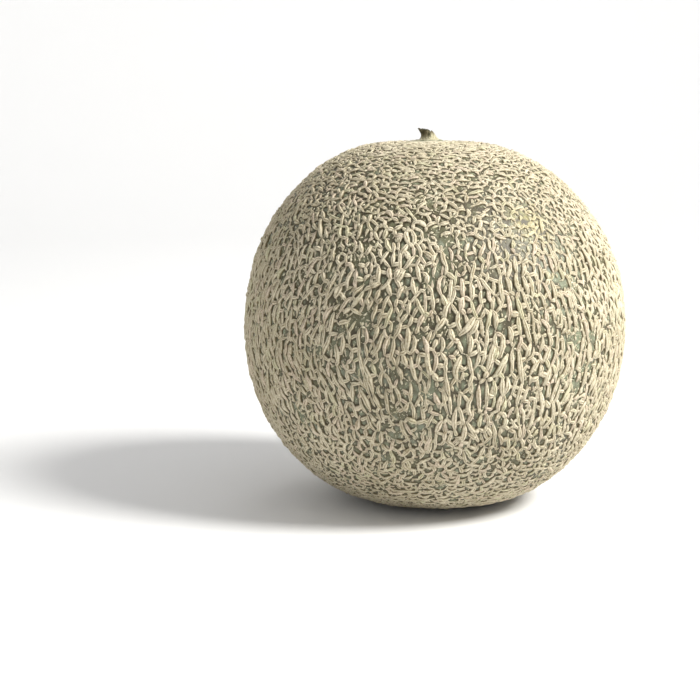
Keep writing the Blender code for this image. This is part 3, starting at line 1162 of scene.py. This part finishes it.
def stalk_finish():
    """Pale cork at the foot, running up in streaks into a grey-green and dark brown stem."""
    stem = Finish("stalk_fibre", 0.86, 0.2)
    parts = stem.add("SeparateXYZ", ("Vector", stem.place())).outputs
    streaks = stem.noise(520, 4, (1, 1, 0.22))
    fine = stem.noise(1700, 3, (1, 1, 0.15))
    colour = stem.blend(stem.ramp(streaks, 0.40, 0.60), STEM_DARK, STEM_BROWN)
    colour = stem.blend(stem.ramp(fine, 0.52, 0.66, 0, 0.6), colour, STEM_FIBRE)
    edge = stem.math("SUBTRACT", parts["Z"], stem.math("MULTIPLY", streaks, 0.0062))
    aside = stem.math("MULTIPLY", stem.math("ADD", parts["X"], -SEAT_X), 0.3)
    edge = stem.math("SUBTRACT", edge, aside)
    top = stalk_high.z - 0.0012
    pale = stem.blend(stem.ramp(fine, 0.4, 0.6), FOOT_DARK, FOOT_LIGHT)
    colour = stem.blend(stem.ramp(edge, top - 0.0036, top - 0.0060), colour, pale)
    stem.paint(colour)
    stem.bump(stem.math("ADD", streaks, fine), 0.0004)
    return stem.material


stem_stub = new_piece("stem_stub", stalk_mesh(), stalk_finish(), "stalk")


# The stage and the light: a pale dish without a horizon, a broad soft lamp high on the right and
# one behind the fruit that lights the dish's far wall.
DISH_FLOOR = (0.8, 1.2)  # radii of the two rings of its level floor
DISH_BEND = 0.9  # radius of the bend up into its wall
BEND_STEPS = 8
DISH_TOP = 2.4
DISH_SIDES = 96
PAPER = (0.86, 0.86, 0.86, 1)
SUNLIGHT = (1.0, 0.988, 0.955)
SKY_STRENGTH = 0.51


def dish():
    mesh = bmesh.new()
    profile = [(radius, 0) for radius in DISH_FLOOR]
    for k in range(1, BEND_STEPS + 1):
        turn = k / BEND_STEPS * math.pi / 2
        radius = DISH_FLOOR[1] + DISH_BEND * math.sin(turn)
        profile.append((radius, DISH_BEND - DISH_BEND * math.cos(turn)))
    profile.append((DISH_FLOOR[1] + DISH_BEND, DISH_TOP))
    rings = []
    for radius, height in profile:
        turns = (k * math.tau / DISH_SIDES for k in range(DISH_SIDES))
        spots = ((radius * math.cos(turn), radius * math.sin(turn), height) for turn in turns)
        rings.append([mesh.verts.new(spot) for spot in spots])
    mesh.faces.new(rings[0])
    bridge(mesh, rings)
    data = bpy.data.meshes.new("floor")
    mesh.to_mesh(data)
    mesh.free()
    data.shade_smooth()
    paper = Finish("floor_paper", 0.9)
    paper.shader.inputs["Base Color"].default_value = PAPER
    data.materials.append(paper.material)
    floor = new_object("floor", data)


def lamp(name, place, aim, size, power, colour=(1, 1, 1)):
    data = bpy.data.lights.new(name, "AREA")
    data.shape = "DISK"
    data.size = size
    data.energy = power
    data.color = colour
    light = new_object(name, data)
    light.location = place
    light.rotation_euler = (Vector(aim) - Vector(place)).to_track_quat("-Z", "Y").to_euler()


dish()
lamp("key", (0.86, -0.32, 0.88), aim=(0, 0, 0.07), size=0.45, power=25, colour=SUNLIGHT)
lamp("backdrop", (0, 0.9, 1.5), aim=(0, 2.1, 0.4), size=0.6, power=7)
world = bpy.data.worlds.new("studio")
world.use_nodes = True
world.node_tree.nodes["Background"].inputs["Color"].default_value = (1, 1, 1, 1)
world.node_tree.nodes["Background"].inputs["Strength"].default_value = SKY_STRENGTH
bpy.context.scene.world = world
bpy.context.scene.view_settings.view_transform = "Standard"

# The camera stands a little above the fruit's waist and looks past its left side.
EYE_RISE = math.radians(8)
EYE_DISTANCE = 0.63
FRAME_WIDTH = 0.2757  # of the view at the fruit's distance
LOOK_LEFT = 0.0329
LOOK_DOWN = 0.0120
middle = Vector((0, 0, 0.0705))
back = Vector((0, -math.cos(EYE_RISE), math.sin(EYE_RISE)))
over = Vector((0, math.sin(EYE_RISE), math.cos(EYE_RISE)))
eye = bpy.data.cameras.new("eye")
eye.angle = 2 * math.atan(FRAME_WIDTH / 2 / EYE_DISTANCE)
camera = new_object("eye", eye)
camera.location = middle + back * EYE_DISTANCE
target = middle - Vector((LOOK_LEFT, 0, 0)) - over * LOOK_DOWN
camera.rotation_euler = (target - camera.location).to_track_quat("-Z", "Y").to_euler()
bpy.context.scene.camera = camera
